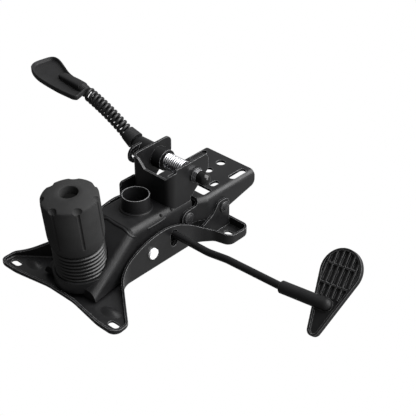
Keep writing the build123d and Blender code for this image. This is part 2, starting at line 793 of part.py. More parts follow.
def make_clamp_nut():
    start = CLAMP_HALF + WASHER_THICKNESS + 2 * SEAT_GAP
    plane = Plane(origin=(start, AXLE_Y, AXLE_Z), x_dir=REARWARD, z_dir=ACROSS)
    nut = extrude(plane * RegularPolygon(NUT_ACROSS / 2, 6, major_radius=False), amount=NUT_HEIGHT)
    return nut - across(start - CUT, start + NUT_HEIGHT + CUT, AXLE_Y, AXLE_Z, AXLE_RADIUS + RUNNING)


def make_dome_cap():
    start = CLAMP_HALF + WASHER_THICKNESS + NUT_HEIGHT + 3 * SEAT_GAP
    end = start + CAP_LENGTH
    body = across(start, end, AXLE_Y, AXLE_Z, CAP_RADIUS)
    body = body + Pos(end, AXLE_Y, AXLE_Z) * Sphere(CAP_RADIUS)
    return body - across(start - CUT, end + SEAT_GAP, AXLE_Y, AXLE_Z, AXLE_RADIUS + RUNNING)


# Lever with the spring neck

def make_lever_collar():
    start, end = LEVER_COLLAR_START, LEVER_COLLAR_START + LEVER_COLLAR_LENGTH
    plane = Plane(origin=lever_point(start), z_dir=Vector(*lever_point(end)) - Vector(*lever_point(start)))
    cone = plane * Cone(
        LEVER_COLLAR_BIG,
        LEVER_COLLAR_SMALL,
        LEVER_COLLAR_LENGTH,
        align=(Align.CENTER, Align.CENTER, Align.MIN),
    )
    cone = fillet(cone.edges().filter_by(GeomType.CIRCLE), HUB_ROUND / 4)
    depth = STUB_LENGTH + SEAT_GAP
    return cone - rod(lever_point(start - CUT), lever_point(depth), STUB_RADIUS + RUNNING)


def neck_line(t):
    """The neck's centre line, an even bow between the collar and the paddle."""
    start = Vector(*lever_point(LEVER_COLLAR_START + LEVER_COLLAR_LENGTH + NECK_SEAT))
    end = Vector(NECK_END_X, AXLE_Y, NECK_END_Z)
    along = end - start
    up = along.cross(Vector(*REARWARD)).normalized()
    if up.Z < 0:
        up = up * -1
    return start + along * t + up * (4 * NECK_BOW * t * (1 - t))


def neck_place(t):
    way = (neck_line(t + SHORT_STEP) - neck_line(t - SHORT_STEP)).normalized()
    side = Vector(*REARWARD)
    up = way.cross(side)
    angle = 2 * math.pi * NECK_TURNS * t
    return neck_line(t) + side * (NECK_RADIUS * math.cos(angle)) + up * (NECK_RADIUS * math.sin(angle))


def make_lever_spring():
    least_gap("lever_spring", neck_place, NECK_TURNS, NECK_WIRE)
    return coil(neck_place, NECK_TURNS, NECK_WIRE, 2 * NECK_WIRE)


def paddle_plane():
    """The paddle's own plane: x runs out along it, y is its width, z is the face with the rim."""
    yaw, pitch = math.radians(PADDLE_YAW), math.radians(PADDLE_PITCH)
    out = Vector(-math.cos(yaw) * math.cos(pitch), math.sin(yaw) * math.cos(pitch), -math.sin(pitch))
    normal = Vector(*UP) - out * Vector(*UP).dot(out)
    return Plane(origin=tip_point(TIP_COLLAR_LENGTH), x_dir=out, z_dir=normal)


def tip_point(distance):
    """A point of the collar at the neck's far end, at a distance from where the collar starts."""
    way = (neck_line(1.0) - neck_line(1.0 - SHORT_STEP)).normalized()
    return neck_line(1.0) + way * (NECK_SEAT + distance)


def paddle_outline(shrink):
    """The paddle's outline from its root to its tip, drawn in by shrink."""
    length, half = PADDLE_LENGTH - shrink, PADDLE_HALF - shrink
    root = TIP_COLLAR_RADIUS / 2 + shrink
    upper_shares = [(0.0, 0.42), (0.2, 0.76), (0.45, 0.86), (0.75, 1.0), (0.91, 0.9)]
    lower_shares = [(0.91, 0.78), (0.7, 0.98), (0.42, 1.0), (0.18, 0.8), (0.0, 0.42)]
    upper = [(root + (length - root) * u, -half * w) for u, w in upper_shares]
    lower = [(root + (length - root) * u, half * w) for u, w in lower_shares]
    tip = [(length, -half * 0.55), (length, half * 0.35)]
    first = Spline(*upper)
    last = Spline(*lower)
    end = FilletPolyline(upper[-1], *tip, lower[0], radius=[half / 4, half / 4])
    root_line = Line(lower[-1], upper[0])
    return make_face(first.edges() + end.edges() + last.edges() + root_line.edges())


def make_lever_paddle():
    plane = paddle_plane()
    pad = extrude(plane * Pos(0, 0, -PADDLE_THICK / 2) * paddle_outline(0.0), amount=PADDLE_THICK)
    hollow = extrude(
        plane * Pos(0, 0, PADDLE_FLOOR - PADDLE_THICK / 2) * paddle_outline(PADDLE_RIM), amount=PADDLE_THICK
    )
    stem = plane * Rot(0, 90, 0) * Cone(
        TIP_COLLAR_RADIUS, TIP_COLLAR_RADIUS / 2, PADDLE_STEM, align=(Align.CENTER, Align.CENTER, Align.MIN)
    )
    knuckle = Pos(*plane.origin) * Sphere(TIP_COLLAR_RADIUS)
    collar = rod(tuple(tip_point(0.0)), tuple(plane.origin), TIP_COLLAR_RADIUS)
    return pad - hollow + stem + knuckle + collar


# Gas lever

def rod_points():
    """The rod's corners, from its tip under the gas lift to its end inside the handle."""
    along_share = 0.5
    end_x = HANDLE_START + (HANDLE_END - HANDLE_START) * along_share
    end_z = HANDLE_START_Z + (HANDLE_END_Z - HANDLE_START_Z) * along_share
    return [
        (ROD_TIP_X, ROD_TIP_Y, LEVER_PIVOT_Z),
        (ROD_CORNER_X, ROD_Y, LEVER_PIVOT_Z),
        (ROD_STEP_START, ROD_Y, ROD_STEP_LOW),
        (ROD_STEP_END, ROD_Y, ROD_STEP_HIGH),
        (HANDLE_START, ROD_Y, HANDLE_START_Z),
        (end_x, ROD_Y, end_z),
    ]


def make_gas_lever_rod():
    points = rod_points()
    path = FilletPolyline(*points, radius=[ROD_BEND, ROD_BEND * 3, ROD_BEND * 3, ROD_BEND * 4])
    start = Vector(*points[0])
    section = Plane(origin=start, z_dir=Vector(*points[1]) - start) * Circle(ROD_RADIUS)
    return sweep(section, path=path.wire()) - lever_pivot(RUNNING)


def blade_plane():
    """The handle's own plane: x runs out along the rod, y along the blade, z is the ribbed face."""
    start = Vector(HANDLE_START, ROD_Y, HANDLE_START_Z)
    out = (Vector(HANDLE_END, ROD_Y, HANDLE_END_Z) - start).normalized()
    roll = math.radians(BLADE_ROLL)
    blade = Vector(0, math.cos(roll), math.sin(roll))
    return Plane(origin=start, x_dir=out, z_dir=out.cross(blade))


def blade_outline(shrink):
    """The blade: a rounded head that narrows to a small lobe past the rod."""
    middle = HANDLE_END - HANDLE_START
    head_x_share, head_y_share, head_share = 1.03, 0.39, 0.5
    lobe_x_share, lobe_y_share, lobe_share = 0.98, 0.29, 0.155
    head_radius = BLADE_WIDTH * head_share - shrink
    lobe_radius = BLADE_WIDTH * lobe_share - shrink
    head = Pos(middle * head_x_share, BLADE_LENGTH * head_y_share) * Circle(head_radius)
    lobe = Pos(middle * lobe_x_share, -BLADE_LENGTH * lobe_y_share) * Circle(lobe_radius)
    return make_hull(head.edges() + lobe.edges())


def make_gas_lever_handle():
    plane = blade_plane()
    length = (Vector(HANDLE_END, 0, HANDLE_END_Z) - Vector(HANDLE_START, 0, HANDLE_START_Z)).length
    blade = extrude(plane * Pos(0, 0, -BLADE_THICK / 2) * blade_outline(0.0), amount=BLADE_THICK)
    hollow = extrude(
        plane * Pos(0, 0, BLADE_FLOOR - BLADE_THICK / 2) * blade_outline(BLADE_RIM), amount=BLADE_THICK
    )
    start = plane.origin
    end = start + plane.x_dir * length
    socket = rod(tuple(start), tuple(end), HANDLE_RADIUS)
    socket = socket + Pos(*end) * Sphere(HANDLE_RADIUS)
    handle = blade - hollow + blade_ribs(plane) + socket
    path = FilletPolyline(*rod_points()[-3:], radius=[ROD_BEND * 4])
    first = Vector(*rod_points()[-3])
    section = Plane(origin=first, z_dir=Vector(*rod_points()[-2]) - first) * Circle(ROD_RADIUS + RUNNING)
    return handle - sweep(section, path=path.wire())


def blade_ribs(plane):
    """Long thin ribs that fan from the lobe to the head, and two rows of cross ribs."""
    middle = HANDLE_END - HANDLE_START
    spread = BLADE_WIDTH * 0.74
    height = BLADE_THICK - BLADE_FLOOR - RUNNING
    low, high = BLADE_LENGTH * 0.08, BLADE_LENGTH * 0.62
    ribs = None
    for i in range(BLADE_RIBS):
        share = i / (BLADE_RIBS - 1) - 1 / 2
        x = middle * 1.02 + spread * share
        rib = Pos(x, (low + high) / 2, BLADE_FLOOR - BLADE_THICK / 2) * Box(
            BLADE_RIB_WIDTH, high - low, height, align=(Align.CENTER, Align.CENTER, Align.MIN)
        )
        ribs = rib if ribs is None else ribs + rib
    for share in (0.22, 0.44):
        row = Pos(middle * 1.02, BLADE_LENGTH * share, BLADE_FLOOR - BLADE_THICK / 2) * Box(
            spread, BLADE_RIB_WIDTH, height, align=(Align.CENTER, Align.CENTER, Align.MIN)
        )
        ribs = ribs + row
    inside = extrude(Pos(0, 0, -BLADE_THICK) * blade_outline(BLADE_RIM / 2), amount=2 * BLADE_THICK)
    return plane * (ribs & inside)


# Tension knob, bolt, spring and bellows

def knob_plane(distance):
    origin = Vector(*knob_point(distance))
    return Plane(origin=origin, x_dir=ACROSS, z_dir=Vector(*knob_point(distance + 1)) - origin)


def make_knob():
    height = KNOB_TOP - KNOB_BOTTOM
    edge = KNOB_WALL
    outline = make_face(
        FilletPolyline(
            (0, 0),
            (KNOB_SKIRT - edge / 2, 0),
            (KNOB_SKIRT, edge),
            (KNOB_RADIUS, height * 0.3),
            (KNOB_RADIUS, height - KNOB_EDGE),
            (KNOB_RADIUS - KNOB_EDGE, height),
            (0, height),
            radius=[0, edge / 4, edge, 5 * edge, KNOB_EDGE / 2, KNOB_EDGE / 2, 0],
            close=True,
        )
    )
    body = revolve(Plane.XZ * outline, axis=Axis.Z)
    cavity_top = THRUST_AT + THRUST_THICKNESS + SEAT_GAP - KNOB_BOTTOM
    cavity = Cylinder(
        KNOB_SKIRT - KNOB_WALL, cavity_top + CUT, align=(Align.CENTER, Align.CENTER, Align.MIN)
    )
    body = body - Pos(0, 0, -CUT) * cavity
    eye = Pos(0, 0, height - KNOB_EYE_DEPTH) * Cylinder(
        KNOB_EYE, KNOB_EYE_DEPTH + CUT, align=(Align.CENTER, Align.CENTER, Align.MIN)
    )
    shaft = Cylinder(BOLT_RADIUS + RUNNING, height * 2, align=(Align.CENTER, Align.CENTER, Align.MIN))
    insert = Pos(0, 0, cavity_top - CUT) * extrude(
        RegularPolygon(INSERT_ACROSS / 2 + RUNNING, 6, major_radius=False), amount=INSERT_HEIGHT + CUT
    )
    body = body - eye - shaft - insert
    tool = scoop(height)
    for i in range(KNOB_SCOOPS):
        body = body - Rot(0, 0, 360 / KNOB_SCOOPS * (i + 1 / 2)) * tool
    return knob_plane(KNOB_BOTTOM) * body


def scoop(height):
    """The cutter of one scoop at the top edge, with the thin groove that runs down from it."""
    out = KNOB_RADIUS - SCOOP_BITE + SCOOP_RADIUS
    middle = height - SCOOP_DEPTH + SCOOP_RADIUS
    ball = Pos(out, 0, middle) * Sphere(SCOOP_RADIUS)
    neck = Pos(out, 0, middle) * Cylinder(
        SCOOP_RADIUS, SCOOP_RADIUS * 3, align=(Align.CENTER, Align.CENTER, Align.MIN)
    )
    bottom = height * 0.22
    groove = Pos(KNOB_RADIUS + GROOVE_RADIUS / 4, 0, bottom) * Cylinder(
        GROOVE_RADIUS, height - bottom - SCOOP_RADIUS, align=(Align.CENTER, Align.CENTER, Align.MIN)
    )
    return ball + neck + groove


def make_knob_insert():
    start = THRUST_AT + THRUST_THICKNESS + SEAT_GAP * 2 - KNOB_BOTTOM
    nut = extrude(RegularPolygon(INSERT_ACROSS / 2, 6, major_radius=False), amount=INSERT_HEIGHT - SEAT_GAP * 2)
    hole = Cylinder(BOLT_RADIUS + RUNNING, INSERT_HEIGHT * 3)
    return knob_plane(KNOB_BOTTOM) * Pos(0, 0, start) * (nut - hole)


def make_tension_bolt():
    foot = rod((0, KNOB_Y, PAN_WALL), (0, KNOB_Y, PAN_WALL + BOLT_FOOT_HEIGHT), BOLT_FOOT_RADIUS)
    foot = Pos(0, (KNOB_Z - PAN_WALL) * math.tan(math.radians(KNOB_LEAN)), 0) * foot
    below = (KNOB_Z - PAN_WALL - BOLT_FOOT_HEIGHT / 2) / math.cos(math.radians(KNOB_LEAN))
    return foot + knob_rod(-below, BOLT_TOP, BOLT_RADIUS)


def make_thrust_washer():
    return knob_rod(THRUST_AT, THRUST_AT + THRUST_THICKNESS, THRUST_RADIUS) - knob_rod(
        THRUST_AT - CUT, THRUST_AT + THRUST_THICKNESS + CUT, BOLT_RADIUS + RUNNING
    )


def spring_place(t):
    rise = 1.25 * SPRING_WIRE + SEAT_GAP
    start = rise
    end = THRUST_AT - rise
    angle = 2 * math.pi * SPRING_TURNS * t
    local = Vector(
        SPRING_RADIUS * math.cos(angle), SPRING_RADIUS * math.sin(angle), start + (end - start) * t
    )
    return knob_plane(0.0).from_local_coords(local)


def make_tension_spring():
    least_gap("tension_spring", spring_place, SPRING_TURNS, SPRING_WIRE)
    return coil(spring_place, SPRING_TURNS, SPRING_WIRE, 2 * SPRING_WIRE)


def make_bellows():
    """Ribs as a ruled loft through four circles each, with a straight bore."""
    end = KNOB_BOTTOM - SEAT_GAP
    pitch = (end - BELLOWS_START) / BELLOWS_RIBS
    root_shares = (0.0, 0.3, 0.5, 0.8)
    sections = []
    for i in range(BELLOWS_RIBS):
        base = BELLOWS_START + pitch * i
        for share, radius in zip(root_shares, (BELLOWS_ROOT, BELLOWS_RADIUS, BELLOWS_RADIUS, BELLOWS_ROOT)):
            sections.append(knob_plane(base + pitch * share) * Circle(radius))
    sections.append(knob_plane(end) * Circle(BELLOWS_ROOT))
    ribs = loft(sections, ruled=True)
    return ribs - knob_rod(-CUT, end + CUT, BELLOWS_BORE)


# Backrest bracket

def bracket_plan(inset):
    """The bracket in plan: a narrow front between the pivots and a wider plate behind."""
    front = FRONT_PIVOT_Y - TONGUE_RADIUS - CUT
    points = [
        (0, front),
        (TONGUE_HALF - inset, front),
        (TONGUE_HALF - inset, TONGUE_FRONT_END),
        (PLATE_HALF - inset, JOGGLE_REAR),
        (PLATE_HALF - inset, PLATE_REAR + PLATE_WALL + CUT),
        (0, PLATE_REAR + PLATE_WALL + CUT),
    ]
    return plan_face(points, [0, PLATE_BEND, PLATE_BEND, 0])


def bracket_shell(inset, top):
    face = bracket_plan(inset)
    block = extrude(face, amount=top)
    edges = [e for e in block.edges() if abs(e.center().Z - top) < RUNNING and abs(e.tangent_at(0.5).Y) > 0.5]
    return fillet(edges, PLATE_BEND - inset)


def make_backrest_bracket():
    outer = bracket_shell(0.0, PLATE_TOP)
    inner = Pos(0, 0, -CUT) * bracket_shell(PLATE_WALL, PLATE_TOP - PLATE_WALL + CUT)
    side = side_face(
        [
            (FRONT_PIVOT_Y - TONGUE_RADIUS, FRONT_PIVOT_Z - TONGUE_RADIUS),
            (FRONT_PIVOT_Y - TONGUE_RADIUS, TONGUE_TOP),
            (TONGUE_FRONT_END, TONGUE_TOP),
            (PLATE_FRONT, PLATE_TOP + CUT),
            (PLATE_REAR, PLATE_TOP + CUT),
            (PLATE_REAR, FLANGE_REAR_Z),
            (FLANGE_MID_Y, FLANGE_MID_Z),
            (REAR_PIVOT_Y - LUG_RADIUS, REAR_PIVOT_Z - LUG_RADIUS),
        ],
        [
            TONGUE_RADIUS - RUNNING,
            TONGUE_RADIUS - RUNNING,
            PLATE_WALL,
            PLATE_WALL,
            0,
            PLATE_BEND,
            PLATE_BEND,
            PLATE_BEND,
        ],
    )
    bracket = (outer - inner) & both_ways(side, PLATE_HALF + CUT)
    tall = PLATE_WALL + CUT
    holes = Pos((WINDOW_NEAR - WINDOW_FAR) / 2, (WINDOW_FRONT + WINDOW_REAR) / 2) * RectangleRounded(
        WINDOW_NEAR + WINDOW_FAR, WINDOW_REAR - WINDOW_FRONT, WINDOW_CORNER
    )
    holes = holes + Pos(0, CENTRE_HOLE_Y) * Circle(CENTRE_HOLE_RADIUS)
    holes = holes + Pos(0, MIDDLE_HOLE_Y) * Circle(CENTRE_HOLE_RADIUS)
    for way in (1, -1):
        holes = holes + Pos(way * LONG_SLOT_X, LONG_SLOT_Y) * Rot(0, 0, 90) * SlotOverall(
            LONG_SLOT_LENGTH, LONG_SLOT_WIDTH
        )
        holes = holes + Pos(way * SIDE_SLOT_X, SIDE_SLOT_Y) * Rot(0, 0, 90) * SlotOverall(
            SIDE_SLOT_LENGTH, SIDE_SLOT_WIDTH
        )
    bracket = bracket - extrude(Pos(0, 0, PLATE_TOP) * holes, amount=tall, both=True)
    wide = PLATE_HALF + CUT
    bracket = bracket - across(-wide, wide, FRONT_PIVOT_Y, FRONT_PIVOT_Z, FRONT_PIN_RADIUS + RUNNING)
    return bracket - across(-wide, wide, REAR_PIVOT_Y, REAR_PIVOT_Z, REAR_PIN_RADIUS + RUNNING)


# Pivots

def make_tilt_pin():
    end = PAN_WAIST + RING_THICKNESS * 2
    return across(-end, end, TILT_Y, TILT_Z, TILT_PIN_RADIUS)


def make_tilt_bushes():
    outer = HOUSING_HALF + BUSH_FLANGE + SEAT_GAP
    inner = HOUSING_HALF - HOUSING_WALL - BUSH_FLANGE
    sleeve = across(inner, HOUSING_HALF, TILT_Y, TILT_Z, TILT_PIN_RADIUS + BUSH_WALL)
    flange = across(
        HOUSING_HALF + SEAT_GAP, outer, TILT_Y, TILT_Z, TILT_PIN_RADIUS + BUSH_WALL * 2
    )
    neck = across(HOUSING_HALF - CUT, outer, TILT_Y, TILT_Z, TILT_PIN_RADIUS + BUSH_WALL)
    bush = sleeve + neck + flange - across(0.0, outer + CUT, TILT_Y, TILT_Z, TILT_PIN_RADIUS + RUNNING)
    return mirrored(bush)


def make_tilt_rings():
    start = PAN_WAIST - PAN_WALL - SEAT_GAP - RING_THICKNESS
    ring = across(start, start + RING_THICKNESS, TILT_Y, TILT_Z, TILT_PIN_RADIUS + RING_WIDTH)
    return mirrored(ring - across(start - CUT, PAN_WAIST, TILT_Y, TILT_Z, TILT_PIN_RADIUS + RUNNING))


def make_front_pivot_pin():
    end = TONGUE_HALF + SEAT_GAP
    pin = across(-end, end, FRONT_PIVOT_Y, FRONT_PIVOT_Z, FRONT_PIN_RADIUS)
    head = across(end, end + RIVET_HEAD_HEIGHT, FRONT_PIVOT_Y, FRONT_PIVOT_Z, RIVET_HEAD_RADIUS)
    head = chamfer(head.edges().sort_by(Axis.X)[-1], RIVET_HEAD_HEIGHT / 3)
    return pin + mirrored(head)


def make_rear_pivot_pins():
    inner = PLATE_HALF - PLATE_WALL - SEAT_GAP
    outer = PLATE_HALF + SIDE_GAP + LUG_WALL + SIDE_GAP
    pin = across(inner, outer, REAR_PIVOT_Y, REAR_PIVOT_Z, REAR_PIN_RADIUS)
    foot = across(inner - RIVET_HEAD_HEIGHT, inner, REAR_PIVOT_Y, REAR_PIVOT_Z, RIVET_HEAD_RADIUS)
    head = across(outer, outer + RIVET_HEAD_HEIGHT, REAR_PIVOT_Y, REAR_PIVOT_Z, RIVET_HEAD_RADIUS)
    head = chamfer(head.edges().sort_by(Axis.X)[-1], RIVET_HEAD_HEIGHT / 3)
    return mirrored(pin + foot + head)


NODES = {
    "seat_plate": make_seat_plate,
    "housing": make_housing,
    "gas_lift_socket": make_gas_socket,
    "clamp_bracket": make_clamp_bracket,
    "backrest_bracket": make_backrest_bracket,
    "tilt_pivot_pin": make_tilt_pin,
    "tilt_pivot_bushes": make_tilt_bushes,
    "tilt_pivot_rings": make_tilt_rings,
    "front_pivot_pin": make_front_pivot_pin,
    "rear_pivot_pins": make_rear_pivot_pins,
    "clamp_axle": make_clamp_axle,
    "lever_hub": make_lever_hub,
    "lock_spring": make_lock_spring,
    "lock_spacer": make_lock_spacer,
    "clamp_washer": make_clamp_washer,
    "clamp_nut": make_clamp_nut,
    "dome_cap": make_dome_cap,
    "lever_collar": make_lever_collar,
    "lever_spring": make_lever_spring,
    "lever_paddle": make_lever_paddle,
    "gas_lever_rod": make_gas_lever_rod,
    "gas_lever_handle": make_gas_lever_handle,
    "gas_lever_pivot": lambda: lever_pivot(0.0),
    "tension_knob": make_knob,
    "knob_insert": make_knob_insert,
    "tension_bolt": make_tension_bolt,
    "tension_spring": make_tension_spring,
    "thrust_washer": make_thrust_washer,
    "bellows": make_bellows,
}

os.makedirs("parts", exist_ok=True)
ratio, slack = linkage()
print("bracket turn per tilt", round(ratio, 4), "rear pivot strays", round(slack, 3))
for node_name, make in NODES.items():
    write(node_name, make())
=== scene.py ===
import math

import bmesh
import bpy
from mathutils import Matrix, Vector


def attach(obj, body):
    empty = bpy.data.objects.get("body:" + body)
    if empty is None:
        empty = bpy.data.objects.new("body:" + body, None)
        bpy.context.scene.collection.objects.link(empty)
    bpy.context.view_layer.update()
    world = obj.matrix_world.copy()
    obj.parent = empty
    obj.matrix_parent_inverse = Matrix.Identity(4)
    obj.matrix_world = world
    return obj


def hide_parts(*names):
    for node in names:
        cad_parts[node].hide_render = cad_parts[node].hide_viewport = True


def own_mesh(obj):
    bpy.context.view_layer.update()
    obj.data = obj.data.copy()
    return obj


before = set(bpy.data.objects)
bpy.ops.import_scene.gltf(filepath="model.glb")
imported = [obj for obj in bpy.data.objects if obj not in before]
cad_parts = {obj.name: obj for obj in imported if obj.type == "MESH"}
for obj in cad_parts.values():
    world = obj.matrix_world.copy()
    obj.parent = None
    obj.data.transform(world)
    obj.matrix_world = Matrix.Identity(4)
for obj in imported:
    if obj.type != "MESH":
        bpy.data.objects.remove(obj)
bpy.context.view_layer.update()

MM = 0.001
X, Y, Z = Vector((1, 0, 0)), Vector((0, 1, 0)), Vector((0, 0, 1))


# Camera, fitted to the photograph

PHOTO_WIDTH = 416
FOCAL_PIXELS = 1103.2
SENSOR_WIDTH = 36
CAMERA_AZIMUTH = math.radians(42.77)
CAMERA_ELEVATION = math.radians(34.07)
CAMERA_BACK, CAMERA_RIGHT, CAMERA_UP = 1193.9, 75.82, 44.7  # mm, along the camera's own axes


def make_camera():
    back = Vector((
        math.sin(CAMERA_AZIMUTH) * math.cos(CAMERA_ELEVATION),
        -math.cos(CAMERA_AZIMUTH) * math.cos(CAMERA_ELEVATION),
        math.sin(CAMERA_ELEVATION),
    ))
    right = Vector((math.cos(CAMERA_AZIMUTH), math.sin(CAMERA_AZIMUTH), 0))
    up = back.cross(right)
    place = (back * CAMERA_BACK + right * CAMERA_RIGHT + up * CAMERA_UP) * MM
    data = bpy.data.cameras.new("camera")
    data.sensor_width = SENSOR_WIDTH
    data.sensor_fit = "HORIZONTAL"
    data.lens = FOCAL_PIXELS / PHOTO_WIDTH * SENSOR_WIDTH
    data.clip_start = 0.05
    data.clip_end = 50
    camera = bpy.data.objects.new("camera", data)
    turn = Matrix((right, up, back)).transposed().to_4x4()
    camera.matrix_world = Matrix.Translation(place) @ turn
    bpy.context.collection.objects.link(camera)
    bpy.context.scene.camera = camera


# Nodes that the materials are made of

NOISE_LOW, NOISE_HIGH = 0.3, 0.7  # where most of a noise node's values lie
NOISE_ROUGHNESS = 0.55
BEVEL_SAMPLES = 6
WEAR_AND_HIGHLIGHT_REACH = 0.0009  # how far from a sharp edge its wear and painted highlight are seen, in metres
MIX_FACTOR, MIX_FIRST, MIX_SECOND = 0, 6, 7  # inputs of a Mix node set to colours
MIX_RESULT = 2


def new_material(name):
    material = bpy.data.materials.new(name)
    material.use_nodes = True
    tree = material.node_tree
    return material, tree, tree.nodes["Principled BSDF"]


def noise(tree, scale, detail):
    coords = tree.nodes.new("ShaderNodeTexCoord")
    node = tree.nodes.new("ShaderNodeTexNoise")
    node.inputs["Scale"].default_value = scale
    node.inputs["Detail"].default_value = detail
    node.inputs["Roughness"].default_value = NOISE_ROUGHNESS
    tree.links.new(coords.outputs["Object"], node.inputs["Vector"])
    return node.outputs["Fac"]


def spread(tree, value, low, high, out_low, out_high):
    node = tree.nodes.new("ShaderNodeMapRange")
    node.inputs["From Min"].default_value = low
    node.inputs["From Max"].default_value = high
    node.inputs["To Min"].default_value = out_low
    node.inputs["To Max"].default_value = out_high
    tree.links.new(value, node.inputs["Value"])
    return node.outputs["Result"]


def patches(tree, scale, detail, low=0.0, high=1.0):
    """Soft patches that range from the low value to the high one."""
    return spread(tree, noise(tree, scale, detail), NOISE_LOW, NOISE_HIGH, low, high)


def blend_colours(tree, factor, first, second):
    node = tree.nodes.new("ShaderNodeMix")
    node.data_type = "RGBA"
    for number, colour in ((MIX_FIRST, first), (MIX_SECOND, second)):
        if isinstance(colour, tuple):
            node.inputs[number].default_value = (*colour, 1.0)
        else:
            tree.links.new(colour, node.inputs[number])
    tree.links.new(factor, node.inputs[MIX_FACTOR])
    return node.outputs[MIX_RESULT]


def bevel_normal(tree, radius):
    node = tree.nodes.new("ShaderNodeBevel")
    node.samples = BEVEL_SAMPLES
    node.inputs["Radius"].default_value = radius
    return node.outputs["Normal"]


def edge_wear_and_highlight(tree, flat, sharp):
    """0 on open surfaces, rising to 1 where they turn away within the reach of edge wear and
    painted highlight.
    """
    geometry = tree.nodes.new("ShaderNodeNewGeometry")
    dot = tree.nodes.new("ShaderNodeVectorMath")
    dot.operation = "DOT_PRODUCT"
    tree.links.new(bevel_normal(tree, WEAR_AND_HIGHLIGHT_REACH), dot.inputs[0])
    tree.links.new(geometry.outputs["Normal"], dot.inputs[1])
    return spread(tree, dot.outputs["Value"], flat, sharp, 0.0, 1.0)


def bump(tree, shader, height, strength, distance, edge):
    """Gives the shader a fine relief, on edges that look rounded to the edge radius."""
    node = tree.nodes.new("ShaderNodeBump")
    node.inputs["Strength"].default_value = strength
    node.inputs["Distance"].default_value = distance
    tree.links.new(height, node.inputs["Height"])
    if edge:
        tree.links.new(bevel_normal(tree, edge), node.inputs["Normal"])
    tree.links.new(node.outputs["Normal"], shader.inputs["Normal"])


# Materials: each has patches between two colours, and between two values of roughness

def enamel(name, dark, light, rough, peel=0.2, wear_and_highlight_colour=(0.2, 0.2, 0.205), shine=0.36):
    """Black stove enamel over pressed steel: a little orange peel, paler on its cut edges, partly
    from wear and partly as a painted highlight.
    """
    material, tree, shader = new_material(name)
    colour = blend_colours(tree, patches(tree, scale=26.0, detail=4.0), dark, light)
    # Sharp edges are blended towards a paler colour: partly wear, partly a painted highlight.
    colour = blend_colours(tree, edge_wear_and_highlight(tree, flat=0.98, sharp=0.85), colour, wear_and_highlight_colour)
    roughness = patches(tree, 140.0, 5.0, *rough)
    waves = noise(tree, scale=420.0, detail=2.0)
    tree.links.new(colour, shader.inputs["Base Color"])
    tree.links.new(roughness, shader.inputs["Roughness"])
    shader.inputs["Specular IOR Level"].default_value = shine
    bump(tree, shader, waves, strength=peel, distance=0.00008, edge=0.0005)
    return material


def plastic(name, dark, light, rough, grain=0.35, shine=0.3, painted_edge_highlight=None, edge=0.0006):
    """Moulded plastic with a fine spark-eroded grain, and a painted highlight that can make its
    edges paler.
    """
    material, tree, shader = new_material(name)
    colour = blend_colours(tree, patches(tree, scale=35.0, detail=3.0), dark, light)
    if painted_edge_highlight:
        # Painted highlight: edges blended towards a paler colour.
        colour = blend_colours(tree, edge_wear_and_highlight(tree, flat=0.985, sharp=0.86), colour, painted_edge_highlight)
    roughness = patches(tree, 900.0, 2.0, *rough)
    pits = noise(tree, scale=2200.0, detail=2.0)
    tree.links.new(colour, shader.inputs["Base Color"])
    tree.links.new(roughness, shader.inputs["Roughness"])
    shader.inputs["Specular IOR Level"].default_value = shine
    bump(tree, shader, pits, strength=grain, distance=0.00006, edge=edge)
    return material


def metal(name, dark, light, rough, metallic=1.0):
    """Zinc or bare steel with cloudy patches and a fine grain."""
    material, tree, shader = new_material(name)
    colour = blend_colours(tree, patches(tree, scale=180.0, detail=5.0), dark, light)
    roughness = patches(tree, 600.0, 3.0, *rough)
    scratches = noise(tree, scale=1500.0, detail=3.0)
    tree.links.new(colour, shader.inputs["Base Color"])
    tree.links.new(roughness, shader.inputs["Roughness"])
    shader.inputs["Metallic"].default_value = metallic
    bump(tree, shader, scratches, strength=0.2, distance=0.00004, edge=0.0003)
    return material


def grey(level, blue=None):
    """A neutral colour, or one with a trace more blue."""
    return (level, level, level if blue is None else blue)


ENAMEL = enamel("black_enamel", grey(0.006, 0.0065), grey(0.01, 0.0105), (0.3, 0.44))
DARK_ENAMEL = enamel(
    "satin_black_rod", grey(0.005, 0.0055), grey(0.009, 0.0095), (0.28, 0.4),
    peel=0.12, shine=0.3,
)
PLASTIC = plastic(
    "black_plastic", grey(0.012, 0.0125), grey(0.017, 0.0175), (0.45, 0.6), shine=0.2,
)
# The handle's ribs and rims get a painted highlight, a pale grey on their edges.
HANDLE_PLASTIC = plastic(
    "handle_plastic", grey(0.009, 0.0095), grey(0.014, 0.0145), (0.4, 0.55),
    shine=0.25, painted_edge_highlight=grey(0.16),
)
GLOSSY_PLASTIC = plastic(
    "glossy_plastic", grey(0.004), grey(0.006), (0.1, 0.16), grain=0.06, shine=0.4,
)
KNOB_PLASTIC = plastic(
    "knob_plastic", grey(0.023, 0.0232), grey(0.031, 0.0312), (0.55, 0.7), shine=0.06,
)
RUBBER = plastic(
    "rubber", grey(0.006, 0.0062), grey(0.01, 0.0102), (0.26, 0.36),
    grain=0.1, shine=0.5, edge=0.0,
)
ZINC = metal("zinc", (0.72, 0.73, 0.76), grey(0.9, 0.92), (0.22, 0.34))
STEEL = metal("bare_steel", grey(0.25, 0.26), grey(0.42, 0.43), (0.3, 0.45))
RIVET = enamel("black_rivet", grey(0.009, 0.0095), grey(0.016, 0.017), (0.25, 0.36))
PIN_END = metal("ground_steel", grey(0.9, 0.91), grey(0.99), (0.3, 0.45), metallic=0.15)
HOOD_ENAMEL = enamel(
    "hood_enamel", grey(0.006, 0.0065), grey(0.01, 0.0105), (0.38, 0.52),
    wear_and_highlight_colour=grey(0.016), shine=0.3,
)
BLACKENED = enamel(
    "blackened_steel", grey(0.002), grey(0.004), (0.5, 0.65), wear_and_highlight_colour=grey(0.006), shine=0.1,
)
